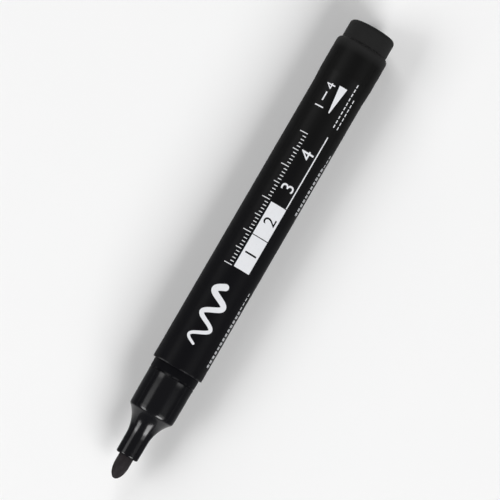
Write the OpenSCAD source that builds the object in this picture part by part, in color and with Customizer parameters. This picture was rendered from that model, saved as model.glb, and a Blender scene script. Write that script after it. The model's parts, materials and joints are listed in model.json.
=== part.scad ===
// Bullet-nib marker, lying on its side without its cap.
// Millimetres. The nib points along +X, +Z is up, and the origin is on the floor under the middle.

/* [Nib] */
// Diameter of the fibre nib
nib_d = 4.2; // [3.6:0.1:4.3]
// Length of the round point at the front of the nib
nib_point_len = 4.4; // [3:0.1:6]
// Length of nib that shows in front of its holder
nib_show = 6.6; // [6.2:0.1:8]
// Whole length of the nib
nib_len = 43.5; // [42:0.5:48]

/* [Nib holder] */
// Diameter of the nose tube at its mouth
nose_d = 6.35; // [6:0.05:6.4]
// Diameter of the nose tube where the flare starts
nose_root_d = 6.45; // [6.4:0.05:6.6]
// Length of the nose tube in front of the flare
nose_len = 5.4; // [4.5:0.1:6]
// Radius of the flare's hollow curve
flare_r = 10.6; // [10:0.1:11]
// Angle that the flare turns through, in degrees
flare_sweep = 44; // [40:1:45]
// Diameter of the holder behind the flare
holder_d = 13.1; // [13.1:0.05:13.2]
// Length of holder that shows in front of the neck
holder_show = 23.9; // [22:0.1:26]

/* [Barrel] */
// Diameter of the neck that a cap grips
neck_d = 13.25; // [13.2:0.05:13.6]
// Length of the neck
neck_len = 2.75; // [2.5:0.05:5]
// Diameter of the barrel
barrel_d = 14.6; // [14.3:0.05:14.8]
// Length of the barrel behind the neck
barrel_len = 98.8; // [96:0.1:110]
// Diameter of the thicker band at the tail
band_d = 15; // [14.9:0.05:15.5]
// Length of the thicker band
band_len = 9.6; // [6:0.1:16]

/* [Tail plug] */
// Diameter of the plug's head
plug_d = 13.25; // [13:0.05:13.6]
// Length of the plug's head
plug_show = 5.55; // [4:0.05:8]

/* [Ink] */
// Diameter of the reservoir over its film sleeve
reservoir_d = 11.2; // [10.6:0.1:11.2]
// Thickness of the film sleeve
wrap_t = 0.15; // [0.1:0.01:0.3]

/* [Hidden] */
$fn = 96;
arc_steps = 10;

// Gaps that let the pieces slide together and seat without overlapping
fit_gap = 0.05;
seat_gap = 0.05;

// Stations along the axis, measured from the point of the nib towards the tail
s_mouth = nib_show;
s_flare = s_mouth + nose_len;
s_holder_end = s_mouth + holder_show;
s_neck = s_holder_end + seat_gap;
s_shoulder = s_neck + neck_len;
s_tail = s_shoulder + barrel_len;
s_head = s_tail + seat_gap;
s_end = s_head + plug_show;
total_len = s_end;
axis_z = max(band_d, barrel_d) / 2;

// Nib
nib_r = nib_d / 2;
nib_point_steps = 16;
nib_taper_len = 3;
nib_taper_r = 0.6 * nib_r;

// Nib holder: flare and shoulder arcs meet without a corner
holder_r = holder_d / 2;
mouth_round = 0.5;
flare_end_r = nose_root_d / 2 + flare_r * (1 - cos(flare_sweep));
shoulder_r = (holder_r - flare_end_r) / (1 - cos(flare_sweep));
s_flare_end = s_flare + flare_r * sin(flare_sweep);
s_flat = s_flare_end + shoulder_r * sin(flare_sweep);
rim_flare_len = 1.6;
rim_flare_r = 20;
rim_sweep = asin(rim_flare_len / rim_flare_r);
rim_r = holder_r + rim_flare_r * (1 - cos(rim_sweep));
rim_round = 0.35;
nib_bore_r = nib_r + fit_gap;
nib_land_len = 2.6;
vent_depth = 0.38;
vent_r = nib_bore_r + vent_depth;
grip_ribs = 6;
grip_rib_w = 0.7;
sleeve_t = 0.6;
sleeve_r = vent_r + sleeve_t;
sleeve_len = 24.4;
chamber_r = 4.65;
chamber_start = 10;
chamber_taper = 4;

// Push-in spigots, each with a full-width land, a seal bead and a lead-in
bead_h = 0.12;
bead_w = 0.5;
bead_inset = 2;
lead_in = 0.5;
spigot_land = 2;
mouth_bore_r = 5.7;
holder_spigot_r = mouth_bore_r - fit_gap;
holder_spigot_len = 7.3;
socket_r = 6.05;
plug_spigot_r = socket_r - fit_gap;
plug_spigot_len = 9;

// Barrel
neck_r = neck_d / 2;
barrel_r = barrel_d / 2;
band_r = band_d / 2;
bore_r = 5.95;
neck_chamfer = 0.2;
edge_round = 0.15;
band_ease = 4;
tail_round_len = 1.3;
bore_lead = 0.3;
bore_ease = 0.25;
socket_len = 10;
core_ribs = 6;
core_rib_w = 0.8;
rib_root = 0.1;

// Reservoir, held between the holder's spigot and the plug's fins
end_gap = 0.3;
reservoir_r = reservoir_d / 2;
core_r = reservoir_r - wrap_t;
s_core = s_holder_end + holder_spigot_len + end_gap;
fin_reach = 3;
s_fins = s_head - plug_spigot_len - fin_reach;
s_core_end = s_fins - end_gap;
nib_hole_gap = 0.1;

// Tail plug
plug_r = plug_d / 2;
plug_round = 1.2;
plug_wall = 1.1;
plug_end_t = 2;
plug_hollow_r = plug_spigot_r - plug_wall;
fin_t = 1;
fin_r = plug_hollow_r + rib_root;
gate_r = 1.6;
gate_depth = 0.25;
gate_stub_r = 0.45;
gate_stub_h = 0.15;

// Points on an arc about a centre [radius, station], between two angles
function arc(centre, r, from, to, steps = arc_steps) =
    [for (i = [0:steps]) let (a = from + (to - from) * i / steps) centre + r * [cos(a), sin(a)]];

// Four points of a low bead that stands on a spigot's root and reaches its full radius
function bead(root_r, s) =
    [[root_r, s - bead_w], [root_r + bead_h, s - bead_w / 2],
     [root_r + bead_h, s + bead_w / 2], [root_r, s + bead_w]];

// Lays a piece that is built on +Z along the marker's axis, with its station 0 at the nib's point
module lay_down() {
    translate([total_len / 2, 0, axis_z]) rotate([0, -90, 0]) children();
}

// Straight ribs round the axis, from an inner to an outer radius
module ribs(count, width, inner_r, outer_r, from, to) {
    for (i = [0:count - 1])
        rotate([0, 0, 360 * i / count])
            translate([inner_r, -width / 2, from]) cube([outer_r - inner_r, width, to - from]);
}

module nib() {
    point = [for (i = [0:nib_point_steps])
        let (a = 90 * i / nib_point_steps) [nib_r * sin(a), nib_point_len * (1 - cos(a))]];
    taper = [[nib_r, nib_len - nib_taper_len], [nib_taper_r, nib_len], [0, nib_len]];
    color([0.17, 0.16, 0.16]) lay_down()
        rotate_extrude() polygon(concat(point, taper));
}

module nib_holder() {
    spigot_root = holder_spigot_r - bead_h;
    s_spigot_end = s_holder_end + holder_spigot_len;
    s_rim = s_holder_end - rim_round - rim_flare_len;
    s_land = s_mouth + nib_land_len;
    s_sleeve = s_mouth + sleeve_len;
    s_chamber = s_mouth + chamber_start;
    outside = concat(
        [[nib_bore_r, s_mouth]],
        arc([nose_d / 2 - mouth_round, s_mouth + mouth_round], mouth_round, -90, 0),
        arc([nose_root_d / 2 + flare_r, s_flare], flare_r, 180, 180 - flare_sweep, 2 * arc_steps),
        arc([holder_r - shoulder_r, s_flat], shoulder_r, -flare_sweep, 0),
        arc([holder_r + rim_flare_r, s_rim], rim_flare_r, 180, 180 - rim_sweep, 4),
        arc([rim_r - rim_round, s_holder_end - rim_round], rim_round, 0, 90));
    spigot = concat(
        [[holder_spigot_r, s_holder_end], [holder_spigot_r, s_holder_end + spigot_land],
         [spigot_root, s_holder_end + spigot_land + bead_w]],
        bead(spigot_root, s_spigot_end - bead_inset),
        [[spigot_root, s_spigot_end - lead_in], [spigot_root - lead_in, s_spigot_end]]);
    inside = [
        [chamber_r, s_spigot_end], [chamber_r, s_chamber + chamber_taper],
        [sleeve_r, s_chamber], [sleeve_r, s_sleeve],
        [vent_r, s_sleeve], [vent_r, s_land], [nib_bore_r, s_land]];
    color([0.07, 0.07, 0.08]) lay_down() {
        rotate_extrude() polygon(concat(outside, spigot, inside));
        ribs(grip_ribs, grip_rib_w, nib_bore_r, vent_r + sleeve_t / 2, s_land - rib_root, s_sleeve);
    }
}

module barrel() {
    s_bore = s_core;
    s_socket = s_tail - socket_len;
    s_band = s_tail - band_len;
    tail_edge = [for (i = [0:arc_steps])
        let (a = 90 * i / arc_steps)
        [plug_r + (band_r - plug_r) * cos(a), s_tail - tail_round_len * (1 - sin(a))]];
    outside = concat(
        [[mouth_bore_r + bore_lead, s_neck], [neck_r - neck_chamfer, s_neck],
         [neck_r, s_neck + neck_chamfer], [neck_r, s_shoulder]],
        arc([barrel_r - edge_round, s_shoulder + edge_round], edge_round, -90, 0),
        [[barrel_r, s_band - band_ease], [band_r, s_band]],
        tail_edge);
    inside = [
        [socket_r + bore_lead, s_tail], [socket_r, s_tail - bore_lead],
        [socket_r, s_socket], [bore_r, s_socket - bore_ease],
        [bore_r, s_bore], [mouth_bore_r, s_bore - bore_ease],
        [mouth_bore_r, s_neck + bore_lead]];
    color([0.09, 0.09, 0.1]) lay_down() {
        rotate_extrude() polygon(concat(outside, inside));
        ribs(core_ribs, core_rib_w, reservoir_r + fit_gap, bore_r + rib_root, s_core + end_gap, s_core_end);
    }
}

module ink_reservoir() {
    hole_end = nib_len + nib_hole_gap;
    color([0.13, 0.13, 0.16]) lay_down()
        rotate_extrude() polygon([
            [nib_bore_r, s_core], [core_r, s_core], [core_r, s_core_end],
            [0, s_core_end], [0, hole_end], [nib_bore_r, hole_end]]);
}

module reservoir_wrap() {
    color([0.75, 0.77, 0.8]) lay_down()
        rotate_extrude() translate([core_r, s_core]) square([wrap_t, s_core_end - s_core]);
}

module tail_plug() {
    spigot_root = plug_spigot_r - bead_h;
    s_spigot_end = s_head - plug_spigot_len;
    s_hollow_end = s_end - plug_end_t;
    spigot = concat(
        [[plug_hollow_r, s_spigot_end], [spigot_root - lead_in, s_spigot_end],
         [spigot_root, s_spigot_end + lead_in]],
        bead(spigot_root, s_spigot_end + bead_inset),
        [[spigot_root, s_head - spigot_land - bead_w], [plug_spigot_r, s_head - spigot_land],
         [plug_spigot_r, s_head]]);
    head = concat(
        [[plug_r, s_head]],
        arc([plug_r - plug_round, s_end - plug_round], plug_round, 0, 90),
        [[gate_r, s_end], [gate_r, s_end - gate_depth],
         [gate_stub_r, s_end - gate_depth], [gate_stub_r, s_end - gate_depth + gate_stub_h],
         [0, s_end - gate_depth + gate_stub_h]]);
    inside = [[0, s_hollow_end], [plug_hollow_r, s_hollow_end]];
    color([0.14, 0.14, 0.14]) lay_down() {
        rotate_extrude() polygon(concat(spigot, head, inside));
        for (turn = [0, 90])
            rotate([0, 0, turn])
                translate([-fin_r, -fin_t / 2, s_fins])
                    cube([2 * fin_r, fin_t, s_hollow_end - s_fins + rib_root]);
    }
}

barrel();
nib_holder();
nib();
ink_reservoir();
reservoir_wrap();
tail_plug();
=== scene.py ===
"""Looks of the bullet-nib marker: turned pieces, finishes, printing, studio light and camera."""

import json
import math

import bmesh
import bpy
from mathutils import Matrix, Vector, noise


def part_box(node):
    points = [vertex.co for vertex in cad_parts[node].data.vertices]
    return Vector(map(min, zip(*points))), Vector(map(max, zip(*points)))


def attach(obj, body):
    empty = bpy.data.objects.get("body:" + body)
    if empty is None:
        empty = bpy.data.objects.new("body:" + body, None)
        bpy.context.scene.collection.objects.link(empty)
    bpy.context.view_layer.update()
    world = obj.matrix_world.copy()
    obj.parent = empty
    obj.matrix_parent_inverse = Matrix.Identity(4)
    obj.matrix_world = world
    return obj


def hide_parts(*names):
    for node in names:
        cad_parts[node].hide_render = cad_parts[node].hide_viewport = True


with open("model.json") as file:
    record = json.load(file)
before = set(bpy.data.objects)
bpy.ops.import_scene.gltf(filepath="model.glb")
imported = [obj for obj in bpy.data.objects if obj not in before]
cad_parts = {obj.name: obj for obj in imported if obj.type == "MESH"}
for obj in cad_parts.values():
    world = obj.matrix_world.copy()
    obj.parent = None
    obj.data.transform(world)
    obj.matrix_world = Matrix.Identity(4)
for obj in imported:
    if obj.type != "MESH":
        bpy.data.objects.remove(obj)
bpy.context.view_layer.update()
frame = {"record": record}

MM = 0.001
TINY = 1e-4

# Places from the frame. A station is the distance behind the nib's point, in millimetres.
X_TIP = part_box("nib")[1].x
AXIS_Z = (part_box("barrel")[0].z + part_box("barrel")[1].z) / 2


def station_at(x):
    return (X_TIP - x) / MM


def front_of(node):
    return station_at(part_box(node)[1].x)


def back_of(node):
    return station_at(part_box(node)[0].x)


def radius_of(node):
    low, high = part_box(node)
    return (high.z - low.z) / 2 / MM


def mount_radius(name):
    return next(m["dims"]["r_mm"] for m in frame["record"]["mounts"] if m["name"] == name)


S_NIB_END = back_of("nib")
S_MOUTH = front_of("nib_holder")
S_HOLDER_SPIGOT = back_of("nib_holder")
S_NECK = front_of("barrel")
S_TAIL = back_of("barrel")
S_CORE = front_of("ink_reservoir")
S_CORE_END = back_of("ink_reservoir")
S_FINS = front_of("tail_plug")
S_END = back_of("tail_plug")
NIB_R = radius_of("nib")
RIM_R = radius_of("nib_holder")
BAND_R = radius_of("barrel")
PLUG_R = radius_of("tail_plug")
CORE_R = radius_of("ink_reservoir")
WRAP_R = radius_of("reservoir_wrap")
NECK_R = mount_radius("cap_seat")
BARREL_R = mount_radius("barrel_grip")

# Sizes in millimetres, sweeps in degrees and counts that the frame doesn't give
FIT_GAP = 0.05
SEAT_GAP = 0.05
NIB_POINT = 4.4
NIB_TAPER = 3.0
NIB_TAPER_R = 0.6 * NIB_R
NOSE_R = 3.175
NOSE_ROOT_R = 3.225
NOSE_LEN = 5.4
MOUTH_ROUND = 0.5
FLARE_R = 10.6
FLARE_SWEEP = 44
RIM_FLARE_LEN = 1.6
RIM_FLARE_R = 20.0
RIM_SWEEP = math.degrees(math.asin(RIM_FLARE_LEN / RIM_FLARE_R))
HOLDER_R = RIM_R - RIM_FLARE_R * (1 - math.cos(math.radians(RIM_SWEEP)))
RIM_ROUND = 0.2
HOLDER_CROWN = 0.05
NIB_BORE_R = NIB_R + FIT_GAP
NIB_LAND = 2.6
VENT_DEPTH = 0.38
VENT_R = NIB_BORE_R + VENT_DEPTH
SLEEVE_WALL = 0.6
SLEEVE_R = VENT_R + SLEEVE_WALL
SLEEVE_LEN = 24.4
CHAMBER_R = 4.65
CHAMBER_START = 10.0
CHAMBER_TAPER = 4.0
GRIP_RIBS = 6
GRIP_RIB_W = 0.7
BEAD_H = 0.12
BEAD_W = 0.5
BEAD_INSET = 2.0
LEAD_IN = 0.5
SPIGOT_LAND = 2.0
MOUTH_BORE_R = 5.7
BORE_R = 5.95
SOCKET_R = 6.05
SOCKET_LEN = 10.0
BORE_LEAD = 0.3
BORE_EASE = 0.25
NECK_LEN = 2.75
NECK_CHAMFER = 0.2
EDGE_ROUND = 0.15
BAND_LEN = 9.6
BAND_EASE = 4.0
TAIL_ROUND = 1.3
CORE_RIBS = 6
CORE_RIB_W = 0.8
CORE_RIB_INSET = 0.3
RIB_ROOT = 0.1
PLUG_ROUND = 1.2
SEAM_CHAMFER = 0.03
PLUG_SPIGOT_R = SOCKET_R - FIT_GAP
PLUG_SPIGOT_LEN = 9.0
PLUG_WALL = 1.1
PLUG_HOLLOW_R = PLUG_SPIGOT_R - PLUG_WALL
PLUG_END_T = 2.0
FIN_T = 1.0
GATE_R = 1.6
GATE_DEPTH = 0.25
GATE_STUB_R = 0.45
GATE_STUB_H = 0.15
S_HOLDER_END = S_NECK - SEAT_GAP
S_SHOULDER = S_NECK + NECK_LEN
S_BAND = S_TAIL - BAND_LEN
S_BAND_EASE = S_BAND - BAND_EASE
S_HEAD = S_TAIL + SEAT_GAP

# Fineness of the meshes: steps, lengths in millimetres, a share of a stretch, and angles
SEGMENTS = 256
ARC_STEPS = 12
FLARE_STEPS = 44
WALL_STEPS = 16
TAIL_STEPS = 16
CORNER_EASE = 0.08
FILM_EASE = 0.03
BAR_EASE = 0.06
EASE_STEPS = 4
SUPPORTS = (0.1, 0.3)
STRETCH_SHARE = 0.4
REAL_CORNER = math.radians(20)
EDGE_REACH = 0.2
FULL_EDGE = math.radians(60)
SHARP = math.radians(35)


def place(station, radius, turn):
    """A point beside the marker's axis. A turn of 0 is the top, and a quarter turn the side at +Y."""
    return Vector((
        X_TIP - station * MM,
        radius * MM * math.sin(turn),
        AXIS_Z + radius * MM * math.cos(turn)))


def arc(centre, radius, start, end, steps=ARC_STEPS):
    """Points (station, radius) on an arc. Angle 0 points outwards, and 90 degrees towards the tail."""
    turns = [math.radians(start + (end - start) * i / steps) for i in range(steps + 1)]
    return [(centre[0] + radius * math.sin(a), centre[1] + radius * math.cos(a)) for a in turns]


def run(first, last, step):
    """Points along a straight stretch, about one step apart, without its last point."""
    count = max(1, round(math.dist(first, last) / step))
    return [tuple(Vector(first).lerp(Vector(last), i / count)) for i in range(count)]


def eased(loop, ease=CORNER_EASE):
    """Rounds the real corners of a closed outline, less where the stretches beside them are short."""
    loop = [p for i, p in enumerate(loop) if math.dist(p, loop[i - 1]) > TINY]
    out = []
    for i, point in enumerate(loop):
        corner = Vector(point)
        before = Vector(loop[i - 1]) - corner
        after = Vector(loop[(i + 1) % len(loop)]) - corner
        if corner.y < TINY or math.pi - before.angle(after) < REAL_CORNER:
            out.append(tuple(corner))
            continue
        first = corner + before.normalized() * min(ease, STRETCH_SHARE * before.length)
        last = corner + after.normalized() * min(ease, STRETCH_SHARE * after.length)
        for k in range(EASE_STEPS + 1):
            t = k / EASE_STEPS
            out.append(tuple(first.lerp(corner, t).lerp(corner.lerp(last, t), t)))
    return out


def supported(loop):
    """Adds points near the ends of long stretches, so that smooth shading stays on the round edges."""
    out = []
    for first, last in zip(loop, loop[1:] + loop[:1]):
        out.append(first)
        length = math.dist(first, last)
        near = [d / length for d in SUPPORTS if d < STRETCH_SHARE * length]
        for t in near + [1 - t for t in reversed(near)]:
            out.append(tuple(Vector(first).lerp(Vector(last), t)))
    return out


def edge_values(loop):
    """How far the outline turns near each of its points: 1 at an outer edge, -1 in an inner corner."""
    count = len(loop)
    points = [Vector(p) for p in loop]
    area = sum(points[i - 1].cross(points[i]) for i in range(count))
    turns = []
    for i in range(count):
        arriving = points[i] - points[i - 1]
        leaving = points[(i + 1) % count] - points[i]
        turns.append(math.atan2(arriving.cross(leaving), arriving.dot(leaving)) * math.copysign(1, area))
    values = []
    for here in points:
        near = sum(t for p, t in zip(points, turns) if (p - here).length < EDGE_REACH and p.y > TINY)
        values.append(max(-1, min(1, near / FULL_EDGE)))
    return values


def turned(loop):
    """A mesh of a closed outline of (station, radius) points, turned about the marker's axis."""
    bm = bmesh.new()
    edge = bm.verts.layers.float.new("edge")
    loop = supported(loop)
    rings = []
    for (s, r), value in zip(loop, edge_values(loop)):
        count = SEGMENTS if r > TINY else 1
        ring = [bm.verts.new(place(s, r, math.tau * k / SEGMENTS)) for k in range(count)]
        for vert in ring:
            vert[edge] = value
        rings.append(ring)
    for ring, after in zip(rings, rings[1:] + rings[:1]):
        if len(ring) == len(after) == 1:
            continue
        for k in range(SEGMENTS):
            corners = [ring[k % len(ring)], ring[(k + 1) % SEGMENTS % len(ring)]]
            corners += [after[(k + 1) % SEGMENTS % len(after)], after[k % len(after)]]
            bm.faces.new(list(dict.fromkeys(corners)))
    return bm


def add_bar(bm, section, s_from, s_to):
    """Adds a straight bar along the axis. Its section is a list of points across and above the axis."""
    ends = []
    for s in (s_from, s_to):
        ends.append([bm.verts.new((X_TIP - s * MM, y * MM, AXIS_Z + z * MM)) for y, z in section])
    faces = [bm.faces.new(ends[0]), bm.faces.new(ends[1][::-1])]
    for i in range(len(section)):
        faces.append(bm.faces.new((ends[0][i - 1], ends[0][i], ends[1][i], ends[1][i - 1])))
    edges = list(dict.fromkeys(e for f in faces for e in f.edges))
    bmesh.ops.bevel(bm, geom=edges, offset=BAR_EASE * MM, segments=2, affect="EDGES", profile=0.5)


def add_ribs(bm, count, width, inner_r, outer_r, s_from, s_to):
    """Adds straight ribs at even turns about the axis."""
    for i in range(count):
        spin = Matrix.Rotation(-math.tau * i / count, 2)
        corners = ((-width / 2, inner_r), (width / 2, inner_r), (width / 2, outer_r), (-width / 2, outer_r))
        add_bar(bm, [spin @ Vector(c) for c in corners], s_from, s_to)


def off_axis(vert):
    """How far a vertex lies across and above the marker's axis, in millimetres."""
    return Vector((vert.co.y, vert.co.z - AXIS_Z)) / MM


def draw_in(vert, keep):
    """Moves a vertex towards the marker's axis, to this share of its distance."""
    vert.co.y *= keep
    vert.co.z = AXIS_Z + (vert.co.z - AXIS_Z) * keep


def add_object(name, data):
    made = bpy.data.objects.new(name, data)
    bpy.context.scene.collection.objects.link(made)
    return made


def make_piece(name, bm, material, body, node=None):
    """Turns a mesh into a piece that rides on a body, in place of a node if one is named."""
    bmesh.ops.recalc_face_normals(bm, faces=bm.faces[:])
    mesh = bpy.data.meshes.new(name)
    bm.to_mesh(mesh)
    bm.free()
    mesh.shade_smooth()
    mesh.set_sharp_from_angle(angle=SHARP)
    mesh.materials.append(material)
    piece = add_object(name, mesh)
    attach(piece, body)
    if node:
        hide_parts(node)


# How far a surface is turned from the eye where its coat of gloss starts to thin and where it is thinnest
GLANCE_START = 0.13
GLANCE_END = 0.34


class Finish:
    """A procedural material. Its sizes are in millimetres, and its textures stay fixed to the piece."""

    def __init__(self, name, specular):
        self.material = bpy.data.materials.new(name)
        self.material.use_nodes = True
        self.nodes = self.material.node_tree.nodes
        self.links = self.material.node_tree.links
        self.shader = self.nodes["Principled BSDF"]
        self.shader.inputs["Specular IOR Level"].default_value = specular
        self.here = self.nodes.new("ShaderNodeTexCoord").outputs["Object"]
        self.bent = None

    def feed(self, socket, value):
        if isinstance(value, bpy.types.NodeSocket):
            self.links.new(value, socket)
        else:
            socket.default_value = value

    def node(self, kind, feeds):
        made = self.nodes.new(kind)
        for name, value in feeds.items():
            self.feed(made.inputs[name], value)
        return made

    def lumps(self, size, along=1.0, detail=2.0):
        """Noise with lumps of about this size, drawn out along the marker's axis."""
        stretch = self.node("ShaderNodeMapping", {"Vector": self.here, "Scale": (1 / along, 1, 1)})
        feeds = {"Vector": stretch.outputs[0], "Scale": 1 / (size * MM), "Detail": detail}
        return self.node("ShaderNodeTexNoise", feeds).outputs["Fac"]

    def along(self):
        """The station of each point, in millimetres behind the nib's point."""
        parts = self.node("ShaderNodeSeparateXYZ", {"Vector": self.here})
        return self.between(parts.outputs["X"], X_TIP, X_TIP - S_END * MM, 0, S_END)

    def edges(self):
        """The edge values that the turned meshes carry."""
        found = self.nodes.new("ShaderNodeAttribute")
        found.attribute_name = "edge"
        return found.outputs["Fac"]

    def between(self, value, low, high, first=0.0, last=1.0):
        """Maps the stretch from low to high onto the one from first to last."""
        feeds = {"Value": value, "From Min": low, "From Max": high, "To Min": first, "To Max": last}
        return self.node("ShaderNodeMapRange", feeds).outputs["Result"]

    def math(self, operation, first, second):
        made = self.nodes.new("ShaderNodeMath")
        made.operation = operation
        self.feed(made.inputs[0], first)
        self.feed(made.inputs[1], second)
        return made.outputs[0]

    def blend(self, factor, first, second):
        """A colour between two others."""
        made = self.nodes.new("ShaderNodeMix")
        made.data_type = "RGBA"
        self.feed(made.inputs[0], factor)
        for socket, value in ((made.inputs[6], first), (made.inputs[7], second)):
            self.feed(socket, value if isinstance(value, bpy.types.NodeSocket) else (*value, 1))
        return made.outputs[2]

    def bump(self, height, depth):
        """Raises the surface by up to this depth where the height is 1."""
        feeds = {"Height": height, "Distance": depth * MM}
        if self.bent:
            feeds["Normal"] = self.bent
        self.bent = self.node("ShaderNodeBump", feeds).outputs[0]

    def coat(self, roughness, weight, dulling=1.0):
        """A coat of gloss over the bumps. Dulling thins it where the surface is seen nearly edge on."""
        facing = self.node("ShaderNodeLayerWeight", {"Blend": 0.5}).outputs["Facing"]
        glancing = self.between(facing, GLANCE_START, GLANCE_END)
        kept = self.math("SUBTRACT", 1.0, self.math("MULTIPLY", glancing, dulling))
        self.shader.inputs["Coat Roughness"].default_value = roughness
        self.feed(self.shader.inputs["Coat Weight"], self.math("MULTIPLY", kept, weight))
        self.feed(self.shader.inputs["Coat Normal"], self.bent)

    def done(self, color, roughness):
        """Sets what is left and hands over the material."""
        self.feed(self.shader.inputs["Base Color"], color)
        self.feed(self.shader.inputs["Roughness"], roughness)
        if self.bent:
            self.feed(self.shader.inputs["Normal"], self.bent)
        return self.material


def grey(level, blue=0.0):
    return (level, level, level + blue)


def worn_edges(finish, size):
    """Patches along the outer edges where handling has rubbed the surface; on the barrel they also carry a
    painted highlight along its edges.
    """
    on_edge = finish.between(finish.edges(), 0.25, 0.9)
    patches = finish.between(finish.lumps(size, detail=3), 0.46, 0.66)
    return finish.math("MULTIPLY", on_edge, patches)


def barrel_finish():
    f = Finish("barrel_satin", specular=0.02)
    grain = f.lumps(0.16, detail=3)
    flow = f.lumps(4, along=8, detail=3)
    rubs = f.between(f.lumps(0.2, along=60, detail=1), 0.64, 0.74)
    wear = worn_edges(f, 2.0)
    front_end, back_start = 60, 110
    to_back = f.between(f.along(), front_end, back_start)
    # Near the tail the coat thins out to matte, and the colour turns lighter there: a painted highlight of
    # the lamp behind the tail on the rounded edge
    satin_end, matte_start = S_TAIL - 3.4, S_TAIL - 1.0
    tail_matte_and_painted_light = f.between(f.along(), satin_end, matte_start)
    front = f.blend(flow, grey(0.0042, 0.001), grey(0.0054, 0.0012))
    back = f.blend(flow, grey(0.0039), grey(0.0047))
    color = f.blend(to_back, front, back)
    # Painted highlight: the rounded tail edge is made lighter as if lit from behind the tail
    color = f.blend(tail_matte_and_painted_light, color, grey(0.0225))
    # Lighter patches on the barrel's outer edges: partly rubbed wear, partly a painted highlight along the
    # front edge and the neck chamfer
    color = f.blend(wear, color, grey(0.06, 0.002))
    satin = f.between(flow, 0.3, 0.7, 0.4, 0.47)
    rough = f.math("SUBTRACT", satin, f.math("MULTIPLY", rubs, 0.08))
    f.bump(grain, 0.0012)
    f.bump(rubs, -0.0008)
    past_neck = f.between(f.along(), S_SHOULDER - EDGE_ROUND, S_SHOULDER)
    before_tail = f.between(tail_matte_and_painted_light, 0, 1, 1, 0)
    front_coat, back_coat = 0.18, 0.42
    weight = f.between(to_back, 0, 1, front_coat, back_coat)
    weight = f.math("MULTIPLY", weight, f.math("MULTIPLY", past_neck, before_tail))
    f.coat(0.32, weight, dulling=0.9)
    return f.done(color, rough)


def holder_finish():
    f = Finish("holder_gloss", specular=0.02)
    ripple = f.lumps(2.4, along=2, detail=1)
    haze = f.lumps(0.7, along=3, detail=4)
    hairs = f.between(f.lumps(0.12, along=25, detail=1), 0.66, 0.74)
    wear = worn_edges(f, 0.7)
    color = f.blend(haze, grey(0.004, 0.0011), grey(0.005, 0.0013))
    color = f.blend(wear, color, grey(0.014, 0.001))
    gloss = f.between(haze, 0.3, 0.7, 0.17, 0.23)
    rough = f.math("ADD", gloss, f.math("MULTIPLY", hairs, 0.12))
    f.bump(ripple, 0.004)
    f.bump(hairs, -0.0003)
    nose_end, flare_start = S_MOUTH + 8, S_MOUTH + 11
    flare_end, wall_start = S_MOUTH + 12.5, S_MOUTH + 13
    past_nose = f.between(f.along(), nose_end, flare_start)
    before_wall = f.between(f.along(), wall_start, flare_end)
    on_flare = f.math("MULTIPLY", past_nose, before_wall)
    f.coat(0.17, 0.9, dulling=f.between(on_flare, 0, 1, 1, 0.15))
    return f.done(color, rough)


def plug_finish():
    f = Finish("plug_matte", specular=0.04)
    sparks = f.lumps(0.13, detail=4)
    cloud = f.lumps(2.5, detail=3)
    wear = worn_edges(f, 0.8)
    color = f.blend(cloud, grey(0.0162), grey(0.0194))
    color = f.blend(wear, color, grey(0.03))
    rough = f.between(sparks, 0.3, 0.7, 0.52, 0.66)
    f.bump(sparks, 0.006)
    return f.done(color, rough)


def nib_finish():
    f = Finish("nib_felt", specular=0.12)
    strands = f.lumps(0.09, along=14, detail=2)
    bundles = f.lumps(0.35, along=8, detail=3)
    soak = f.lumps(1.8, along=2, detail=2)
    color = f.blend(strands, (0.0147, 0.0127, 0.0137), (0.0412, 0.0362, 0.039))
    color = f.blend(f.between(soak, 0.4, 0.7), color, (0.0183, 0.0155, 0.0168))
    rough = f.between(bundles, 0.3, 0.7, 0.82, 0.95)
    f.bump(bundles, 0.02)
    f.bump(strands, 0.012)
    return f.done(color, rough)


def fibre_finish():
    f = Finish("ink_fibre", specular=0.2)
    strands = f.lumps(0.11, along=20, detail=2)
    tufts = f.lumps(0.5, along=6, detail=3)
    color = f.blend(strands, (0.006, 0.006, 0.009), (0.036, 0.036, 0.046))
    color = f.blend(f.between(tufts, 0.45, 0.7), color, (0.01, 0.01, 0.014))
    rough = f.between(tufts, 0.3, 0.7, 0.6, 0.9)
    f.bump(strands, 0.03)
    return f.done(color, rough)


def film_finish():
    f = Finish("wrap_film", specular=0.5)
    creases = f.lumps(0.6, along=30, detail=3)
    stains = f.between(f.lumps(3, along=3, detail=4), 0.48, 0.62)
    color = f.blend(creases, (0.32, 0.34, 0.38), (0.44, 0.46, 0.5))
    color = f.blend(stains, color, (0.05, 0.05, 0.07))
    rough = f.between(creases, 0.3, 0.7, 0.2, 0.4)
    f.bump(creases, 0.02)
    return f.done(color, rough)


def print_finish():
    f = Finish("print_white", specular=0.3)
    mesh_grain = f.lumps(0.12, detail=3)
    thin_spots = f.between(f.lumps(0.35, detail=4), 0.62, 0.75)
    color = f.blend(mesh_grain, (0.73, 0.74, 0.765), (0.81, 0.82, 0.845))
    color = f.blend(f.math("MULTIPLY", thin_spots, 0.35), color, (0.5, 0.5, 0.515))
    rough = f.between(mesh_grain, 0.3, 0.7, 0.45, 0.6)
    f.bump(mesh_grain, 0.004)
    return f.done(color, rough)


BARREL_FINISH = barrel_finish()
HOLDER_FINISH = holder_finish()
PLUG_FINISH = plug_finish()
NIB_FINISH = nib_finish()
FIBRE_FINISH = fibre_finish()
FILM_FINISH = film_finish()
PRINT_FINISH = print_finish()


# Felt nib: fibres run along it, so its surface is finely grooved and its point has fibre ends
NIB_POINT_STEPS = 28
NIB_STEP = 0.4
FIBRES_PER_MM = 7.0
FIBRE_STRETCH = 0.06
FIBRE_DEPTH = 0.035
NEAR_AXIS = 0.3


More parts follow.
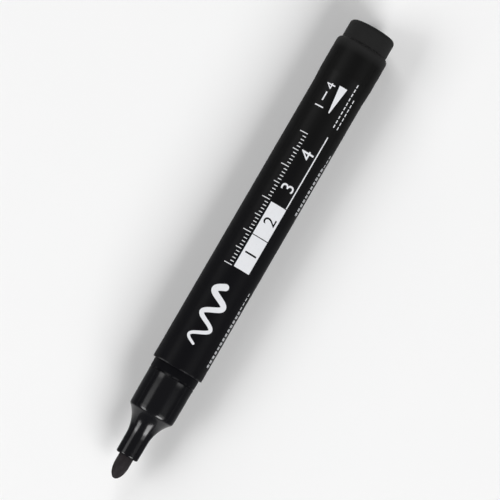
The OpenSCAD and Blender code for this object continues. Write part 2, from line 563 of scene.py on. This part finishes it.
def make_nib():
    point = []
    for i in range(NIB_POINT_STEPS):
        a = math.pi / 2 * i / NIB_POINT_STEPS
        point.append((NIB_POINT * (1 - math.cos(a)), NIB_R * math.sin(a)))
    shank_end = S_NIB_END - NIB_TAPER
    shank = run((NIB_POINT, NIB_R), (shank_end, NIB_R), NIB_STEP)
    taper = run((shank_end, NIB_R), (S_NIB_END, NIB_TAPER_R), NIB_STEP)
    bm = turned(point + shank + taper + [(S_NIB_END, NIB_TAPER_R), (S_NIB_END, 0)])
    for vert in bm.verts:
        off = off_axis(vert)
        spot = Vector((*off, station_at(vert.co.x) * FIBRE_STRETCH)) * FIBRES_PER_MM
        depth = FIBRE_DEPTH * (0.5 + 0.5 * noise.noise(spot))
        draw_in(vert, 1 - depth / max(off.length, NEAR_AXIS))
    make_piece("felt_nib", bm, NIB_FINISH, "nib", "nib")


def bead(root_r, station):
    """The outline of a seal bead round a spigot."""
    return [
        (station - BEAD_W, root_r), (station - BEAD_W / 2, root_r + BEAD_H),
        (station + BEAD_W / 2, root_r + BEAD_H), (station + BEAD_W, root_r)]


# Shoulder of the holder: how many steps it has, and over how many of them its slope fades to 1 / e
SHOULDER_STEPS = 40
SHOULDER_FADE = 8


def fading_shoulder(start, end_r):
    """A curve from the flare's end up to a radius. Its slope fades by the same share at each step."""
    fades = [math.exp(-(i + 0.5) / SHOULDER_FADE) for i in range(SHOULDER_STEPS)]
    slopes = [math.radians(FLARE_SWEEP) * fade for fade in fades]
    step = (end_r - start[1]) / sum(math.sin(a) for a in slopes)
    points = [start]
    for a in slopes:
        points.append((points[-1][0] + step * math.cos(a), points[-1][1] + step * math.sin(a)))
    return points


def make_holder():
    s_flare = S_MOUTH + NOSE_LEN
    flare = arc((s_flare, NOSE_ROOT_R + FLARE_R), FLARE_R, 180, 180 - FLARE_SWEEP, FLARE_STEPS)
    shoulder = fading_shoulder(flare[-1], HOLDER_R - HOLDER_CROWN)
    s_wall = shoulder[-1][0]
    spigot_r = MOUTH_BORE_R - FIT_GAP
    root_r = spigot_r - BEAD_H
    s_land = S_MOUTH + NIB_LAND
    s_sleeve = S_MOUTH + SLEEVE_LEN
    s_chamber = S_MOUTH + CHAMBER_START
    s_rim = S_HOLDER_END - RIM_ROUND - RIM_FLARE_LEN
    wall = []
    for i in range(1, WALL_STEPS):
        t = i / WALL_STEPS
        wall.append((s_wall + (s_rim - s_wall) * t, HOLDER_R - HOLDER_CROWN * (1 - t) ** 2))
    outside = (
        [(S_MOUTH, NIB_BORE_R)]
        + arc((S_MOUTH + MOUTH_ROUND, NOSE_R - MOUTH_ROUND), MOUTH_ROUND, -90, 0)
        + flare + shoulder + wall
        + arc((s_rim, HOLDER_R + RIM_FLARE_R), RIM_FLARE_R, 180, 180 - RIM_SWEEP)
        + arc((S_HOLDER_END - RIM_ROUND, RIM_R - RIM_ROUND), RIM_ROUND, 0, 90))
    spigot = (
        [(S_HOLDER_END, spigot_r), (S_HOLDER_END + SPIGOT_LAND, spigot_r)]
        + [(S_HOLDER_END + SPIGOT_LAND + BEAD_W, root_r)]
        + bead(root_r, S_HOLDER_SPIGOT - BEAD_INSET)
        + [(S_HOLDER_SPIGOT - LEAD_IN, root_r), (S_HOLDER_SPIGOT, root_r - LEAD_IN)])
    inside = [
        (S_HOLDER_SPIGOT, CHAMBER_R), (s_chamber + CHAMBER_TAPER, CHAMBER_R),
        (s_chamber, SLEEVE_R), (s_sleeve, SLEEVE_R),
        (s_sleeve, VENT_R), (s_land, VENT_R), (s_land, NIB_BORE_R)]
    bm = turned(eased(outside + spigot + inside))
    rib_outer_r = (VENT_R + SLEEVE_R) / 2
    add_ribs(bm, GRIP_RIBS, GRIP_RIB_W, NIB_BORE_R, rib_outer_r, s_land - RIB_ROOT, s_sleeve)
    make_piece("glossy_holder", bm, HOLDER_FINISH, "nib_holder", "nib_holder")


def make_barrel():
    s_socket = S_TAIL - SOCKET_LEN
    tail_edge = []
    for i in range(TAIL_STEPS + 1):
        a = math.pi / 2 * i / TAIL_STEPS
        station = S_TAIL - TAIL_ROUND * (1 - math.sin(a))
        tail_edge.append((station, PLUG_R + (BAND_R - PLUG_R) * math.cos(a)))
    outside = (
        [(S_NECK, MOUTH_BORE_R + BORE_LEAD), (S_NECK, NECK_R - NECK_CHAMFER)]
        + [(S_NECK + NECK_CHAMFER, NECK_R), (S_SHOULDER, NECK_R)]
        + arc((S_SHOULDER + EDGE_ROUND, BARREL_R - EDGE_ROUND), EDGE_ROUND, -90, 0, steps=8)
        + [(S_BAND_EASE, BARREL_R), (S_BAND, BAND_R)]
        + tail_edge)
    inside = [
        (S_TAIL, SOCKET_R + BORE_LEAD), (S_TAIL - BORE_LEAD, SOCKET_R),
        (s_socket, SOCKET_R), (s_socket - BORE_EASE, BORE_R),
        (S_CORE, BORE_R), (S_CORE - BORE_EASE, MOUTH_BORE_R),
        (S_NECK + BORE_LEAD, MOUTH_BORE_R)]
    bm = turned(eased(outside + inside))
    s_ribs = S_CORE + CORE_RIB_INSET
    add_ribs(bm, CORE_RIBS, CORE_RIB_W, WRAP_R + FIT_GAP, BORE_R + RIB_ROOT, s_ribs, S_CORE_END)
    make_piece("satin_barrel", bm, BARREL_FINISH, "barrel", "barrel")


def make_plug():
    root_r = PLUG_SPIGOT_R - BEAD_H
    s_spigot = S_HEAD - PLUG_SPIGOT_LEN
    s_hollow = S_END - PLUG_END_T
    spigot = (
        [(s_spigot, PLUG_HOLLOW_R), (s_spigot, root_r - LEAD_IN), (s_spigot + LEAD_IN, root_r)]
        + bead(root_r, s_spigot + BEAD_INSET)
        + [(S_HEAD - SPIGOT_LAND - BEAD_W, root_r), (S_HEAD - SPIGOT_LAND, PLUG_SPIGOT_R)]
        + [(S_HEAD, PLUG_SPIGOT_R)])
    head = (
        [(S_HEAD, PLUG_R - SEAM_CHAMFER), (S_HEAD + SEAM_CHAMFER, PLUG_R)]
        + arc((S_END - PLUG_ROUND, PLUG_R - PLUG_ROUND), PLUG_ROUND, 0, 90, steps=16)
        + [(S_END, GATE_R), (S_END - GATE_DEPTH, GATE_R), (S_END - GATE_DEPTH, GATE_STUB_R)]
        + [(S_END - GATE_DEPTH + GATE_STUB_H, GATE_STUB_R), (S_END - GATE_DEPTH + GATE_STUB_H, 0)])
    inside = [(s_hollow, 0), (s_hollow, PLUG_HOLLOW_R)]
    bm = turned(eased(spigot + head + inside))
    reach, half = PLUG_HOLLOW_R + RIB_ROOT, FIN_T / 2
    cross = []
    for turn in range(4):
        spin = Matrix.Rotation(-math.pi / 2 * turn, 2)
        cross += [spin @ Vector(c) for c in ((-half, half), (-half, reach), (half, reach))]
    add_bar(bm, cross, S_FINS, s_hollow + RIB_ROOT)
    make_piece("matte_plug", bm, PLUG_FINISH, "tail_plug", "tail_plug")


# Ink core: its cut ends show the fibres' tips
CORE_END_STEP = 0.16
CORE_TIP_SIZE = 0.22
CORE_TIP_DEPTH = 0.09
CORE_HOLE_SPARE = 0.1


def make_core():
    hole_end = S_NIB_END + CORE_HOLE_SPARE
    front = run((S_CORE, NIB_BORE_R), (S_CORE, CORE_R), CORE_END_STEP)
    back = run((S_CORE_END, CORE_R), (S_CORE_END, 0), CORE_END_STEP)
    hole = [(hole_end, 0), (hole_end, NIB_BORE_R)]
    bm = turned(front + [(S_CORE, CORE_R)] + back + [(S_CORE_END, 0)] + hole)
    for vert in bm.verts:
        station = station_at(vert.co.x)
        spot = Vector((vert.co.y, vert.co.z, station * MM)) / (CORE_TIP_SIZE * MM)
        depth = CORE_TIP_DEPTH * (0.5 + 0.5 * noise.noise(spot))
        if abs(station - S_CORE) < TINY:
            vert.co.x -= depth * MM
        if abs(station - S_CORE_END) < TINY:
            vert.co.x += depth * MM
    make_piece("fibre_core", bm, FIBRE_FINISH, "barrel", "ink_reservoir")


# Film round the core, closed along one lengthwise seam
SEAM_TURN = math.radians(40)
SEAM_REACH = math.radians(5)
SEAM_DEPTH = 0.06


def make_film():
    outline = [(S_CORE, CORE_R), (S_CORE, WRAP_R), (S_CORE_END, WRAP_R), (S_CORE_END, CORE_R)]
    bm = turned(eased(outline, FILM_EASE))
    middle = (CORE_R + WRAP_R) / 2
    for vert in bm.verts:
        off = off_axis(vert)
        away = abs(math.atan2(off.x, off.y) - SEAM_TURN)
        if off.length > middle and away < SEAM_REACH:
            draw_in(vert, 1 - SEAM_DEPTH * (1 - away / SEAM_REACH) / off.length)
    make_piece("film_sleeve", bm, FILM_FINISH, "barrel", "reservoir_wrap")


make_nib()
make_holder()
make_barrel()
make_plug()
make_core()
make_film()


# Printing: flat shapes in millimetres, along the barrel towards its tail and up towards -Y, bent round it
INK_UNDER = -0.01
INK_OVER = 0.02
STRIP = 0.18


def barrel_radius(station):
    along = (station - S_BAND_EASE) / BAND_EASE
    return BARREL_R + (BAND_R - BARREL_R) * max(0, min(1, along))


def rectangle(a0, b0, a1, b1):
    return [(a0, b0), (a1, b0), (a1, b1), (a0, b1)]


def add_flat(bm, outline):
    bm.faces.new([bm.verts.new((a, b, 0)) for a, b in outline])


def figure_mesh(digit, height):
    """A flat mesh of one plain figure, centred on the origin."""
    curve = bpy.data.curves.new("figure", "FONT")
    curve.body = digit
    maker = add_object("figure", curve)
    bpy.context.view_layer.update()
    mesh = bpy.data.meshes.new_from_object(maker.evaluated_get(bpy.context.evaluated_depsgraph_get()))
    bpy.data.objects.remove(maker)
    bpy.data.curves.remove(curve)
    low = Vector([min(v.co[i] for v in mesh.vertices) for i in range(3)])
    high = Vector([max(v.co[i] for v in mesh.vertices) for i in range(3)])
    size = height / (high.y - low.y)
    mesh.transform(Matrix.Scale(size, 4) @ Matrix.Translation(-(low + high) / 2))
    return mesh


def add_figure(bm, digit, height, a, b):
    mesh = figure_mesh(digit, height)
    mesh.transform(Matrix.Translation((a, b, 0)))
    bm.from_mesh(mesh)
    bpy.data.meshes.remove(mesh)


def add_cut_out_figure(bm, digit, height, a0, b0, a1, b1):
    """A filled block with the figure left open in its middle."""
    figure = bmesh.new()
    add_figure(figure, digit, height, (a0 + a1) / 2, (b0 + b1) / 2)
    made = {v: bm.verts.new(v.co) for e in figure.edges if e.is_boundary for v in e.verts}
    edges = [bm.edges.new([made[v] for v in e.verts]) for e in figure.edges if e.is_boundary]
    corners = [bm.verts.new((a, b, 0)) for a, b in rectangle(a0, b0, a1, b1)]
    edges += [bm.edges.new((corners[i - 1], corners[i])) for i in range(4)]
    bmesh.ops.triangle_fill(bm, edges=edges, use_beauty=True, normal=(0, 0, 1))
    figure.free()


def make_print(name, bm, station, turn):
    """Bends a flat shape round the barrel as a thin closed film of ink."""
    bmesh.ops.triangulate(bm, faces=bm.faces[:])
    low = min(v.co.y for v in bm.verts)
    high = max(v.co.y for v in bm.verts)
    strips = math.ceil((high - low) / STRIP)
    cuts = [((0, low + (high - low) * i / strips, 0), (0, 1, 0)) for i in range(1, strips)]
    cuts.append(((S_BAND_EASE - station, 0, 0), (1, 0, 0)))
    for spot, facing in cuts:
        everything = bm.verts[:] + bm.edges[:] + bm.faces[:]
        bmesh.ops.bisect_plane(bm, geom=everything, plane_co=spot, plane_no=facing)
    raised = bmesh.ops.extrude_face_region(bm, geom=bm.faces[:], use_keep_orig=True)["geom"]
    top = {v for v in raised if isinstance(v, bmesh.types.BMVert)}
    for vert in bm.verts:
        s = station + vert.co.x
        base = barrel_radius(s)
        vert.co = place(s, base + (INK_OVER if vert in top else INK_UNDER), turn - vert.co.y / base)
    make_piece(name, bm, PRINT_FINISH, "barrel")


def print_sample_stroke():
    """A wavy pen stroke that grows from thin to thick, with round ends."""
    length, swing, waves = 17.0, 2.3, 2.5
    thin, thick = 0.35, 0.95
    steps, cap_steps = 120, 10
    middle, across = [], []
    for i in range(steps + 1):
        t = i / steps
        turn = math.tau * waves * t
        middle.append(Vector((length * t, swing * math.sin(turn))))
        slope = Vector((length, swing * math.tau * waves * math.cos(turn))).normalized()
        across.append(slope.orthogonal() * (thin + (thick - thin) * t))
    upper = [m + w for m, w in zip(middle, across)]
    lower = [m - w for m, w in zip(middle, across)]
    spins = [Matrix.Rotation(-math.pi * k / cap_steps, 2) for k in range(1, cap_steps)]
    tail_cap = [middle[-1] + spin @ across[-1] for spin in spins]
    nib_cap = [middle[0] - spin @ across[0] for spin in spins]
    bm = bmesh.new()
    add_flat(bm, upper + tail_cap + lower[::-1] + nib_cap)
    make_print("print_stroke", bm, station=41.0, turn=math.radians(2))


def print_scale():
    """A centimetre scale: filled blocks, then open figures over a rule, with a row of ticks above."""
    blocks, filled, block, half = 4, 2, 10.0, 2.4
    cut_figure, block_gap = 3.4, 0.25
    open_figure, open_lift = 3.6, 0.4
    rule, rule_over = 0.35, 2.0
    tick_base, tick_w = 3.0, 0.22
    long_tick, middle_tick, short_tick = 2.4, 1.7, 1.0
    bm = bmesh.new()
    for i in range(blocks):
        if i < filled:
            block_end = (i + 1) * block - block_gap
            add_cut_out_figure(bm, str(i + 1), cut_figure, i * block, -half, block_end, half)
        else:
            add_figure(bm, str(i + 1), open_figure, (i + 0.5) * block, open_lift)
    add_flat(bm, rectangle(filled * block, -half, blocks * block + rule_over, rule - half))
    for i in range(blocks * 10 + 1):
        tall = long_tick if i % 10 == 0 else middle_tick if i % 5 == 0 else short_tick
        add_flat(bm, rectangle(i - tick_w / 2, tick_base, i + tick_w / 2, tick_base + tall))
    make_print("print_scale", bm, station=64.0, turn=math.radians(13))


def print_line_width():
    """Figures for the thinnest and the thickest line, over a wedge that grows between them."""
    figure, lift = 2.5, 1.5
    thinnest, thickest = 0.9, 7.0
    dash = rectangle(2.6, 1.3, 5.2, 1.7)
    wedge = [(0.4, -1.95), (8.2, -3.0), (8.2, -0.7), (0.4, -1.65)]
    bm = bmesh.new()
    add_figure(bm, "1", figure, thinnest, lift)
    add_flat(bm, dash)
    add_figure(bm, "4", figure, thickest, lift)
    add_flat(bm, wedge)
    make_print("print_line_width", bm, station=111.2, turn=math.radians(-9))


def print_rules():
    """Short dashes in straight rows beside the figures and along the right side."""
    # Each row has the station where it starts, its turn in degrees and its number of dashes
    rows = ((109.0, 30, 10), (109.0, 41, 7), (37.5, 64, 17), (37.5, 69, 13), (84.0, 64, 11), (84.0, 69, 14))
    dash, gap, line = 0.9, 0.45, 0.3
    bm = bmesh.new()
    first_station, first_turn = rows[0][:2]
    for station, turn, count in rows:
        b = math.radians(first_turn - turn) * BARREL_R
        for i in range(count):
            a = station - first_station + i * (dash + gap)
            add_flat(bm, rectangle(a, b - line / 2, a + dash, b + line / 2))
    make_print("print_rules", bm, station=first_station, turn=math.radians(first_turn))


print_sample_stroke()
print_scale()
print_line_width()
print_rules()

# Camera: above the marker, leaning a little towards the nib, with a long lens
IMAGE_PX = 500
FOCAL_PX = 3270
SENSOR_MM = 36
VIEW_LEAN = math.radians(3.85)
VIEW_TURN = math.radians(30.16)
MM_PER_PX = 0.2655
AIM_STATION = 70.3
AIM_SIDE = 0.84


def set_up(thing, spot, right, up, back):
    """Puts a camera or a lamp at a spot. It looks away from its back."""
    thing.matrix_world = Matrix.Translation(spot) @ Matrix((right, up, back)).transposed().to_4x4()


def make_camera():
    toward = Vector((math.sin(VIEW_LEAN), 0, math.cos(VIEW_LEAN)))
    along = Vector((math.cos(VIEW_LEAN), 0, -math.sin(VIEW_LEAN)))
    across = Vector((0, 1, 0))
    c, s = math.cos(VIEW_TURN), math.sin(VIEW_TURN)
    right = -s * along + c * across
    up = -c * along - s * across
    aim = Vector((X_TIP - AIM_STATION * MM, AIM_SIDE * MM, AXIS_Z))
    data = bpy.data.cameras.new("camera")
    data.sensor_width = SENSOR_MM
    data.lens = SENSOR_MM * FOCAL_PX / IMAGE_PX
    data.clip_start = 0.01
    data.clip_end = 20
    camera = add_object("camera", data)
    set_up(camera, aim + toward * FOCAL_PX * MM_PER_PX * MM, right, up, toward)
    bpy.context.scene.camera = camera


make_camera()

# Studio, in metres: a pale floor, softboxes all at one distance, and a dim room
FLOOR_HALF = 3.0
LAMP_DISTANCE = 6.0


def make_floor():
    mesh = bpy.data.meshes.new("floor")
    corners = [(x, y, 0) for x, y in rectangle(-FLOOR_HALF, -FLOOR_HALF, FLOOR_HALF, FLOOR_HALF)]
    mesh.from_pydata(corners, [], [(0, 1, 2, 3)])
    floor = add_object("floor", mesh)
    f = Finish("floor", specular=0.1)
    mesh.materials.append(f.done(f.blend(f.lumps(40), grey(0.925), grey(0.935)), 0.8))


make_floor()


def softbox(name, azimuth, elevation, along, across, radiance):
    """A lamp aimed at the marker and laid along it. Azimuth 0 is on the nib's side, and 90 at +Y."""
    a, e = math.radians(azimuth), math.radians(elevation)
    toward = Vector((math.cos(a) * math.cos(e), math.sin(a) * math.cos(e), math.sin(e)))
    lengthwise = (Vector((1, 0, 0)) - toward * toward.x).normalized()
    data = bpy.data.lights.new(name, "AREA")
    data.shape = "RECTANGLE"
    data.size = along
    data.size_y = across
    data.energy = radiance * math.pi * along * across
    lamp = add_object(name, data)
    set_up(lamp, toward * LAMP_DISTANCE, lengthwise, toward.cross(lengthwise), toward)
    lamp.visible_camera = False


softbox("left_softbox", azimuth=-73.1, elevation=38.4, along=2.75, across=2.7, radiance=1.95)
softbox("right_softbox", azimuth=68.5, elevation=36.2, along=2.75, across=3.6, radiance=1.75)
softbox("front_left_lamp", azimuth=-52.5, elevation=35.9, along=3.2, across=2.5, radiance=4.8)
softbox("front_right_lamp", azimuth=47, elevation=33.5, along=3.5, across=3.2, radiance=7.8)
softbox("tail_softbox", azimuth=-137.6, elevation=31.2, along=2.5, across=5.0, radiance=3.4)


def make_world():
    """A room that is pale near the floor and dark overhead."""
    world = bpy.data.worlds.new("studio")
    bpy.context.scene.world = world
    world.use_nodes = True
    nodes, links = world.node_tree.nodes, world.node_tree.links
    coord = nodes.new("ShaderNodeTexCoord")
    split = nodes.new("ShaderNodeSeparateXYZ")
    ramp = nodes.new("ShaderNodeValToRGB")
    links.new(coord.outputs["Generated"], split.inputs[0])
    links.new(split.outputs["Z"], ramp.inputs[0])
    links.new(ramp.outputs[0], nodes["Background"].inputs["Color"])
    # Each stop has the height of a direction, from 0 at the horizon to 1 overhead, and its brightness
    stops = ((0.0, 0.2), (0.12, 0.12), (0.28, 0.1))
    for i, (height, level) in enumerate(stops):
        stop = ramp.color_ramp.elements[i] if i < 2 else ramp.color_ramp.elements.new(height)
        stop.position = height
        stop.color = (level, level, level, 1)


make_world()
bpy.context.scene.view_settings.view_transform = "Standard"
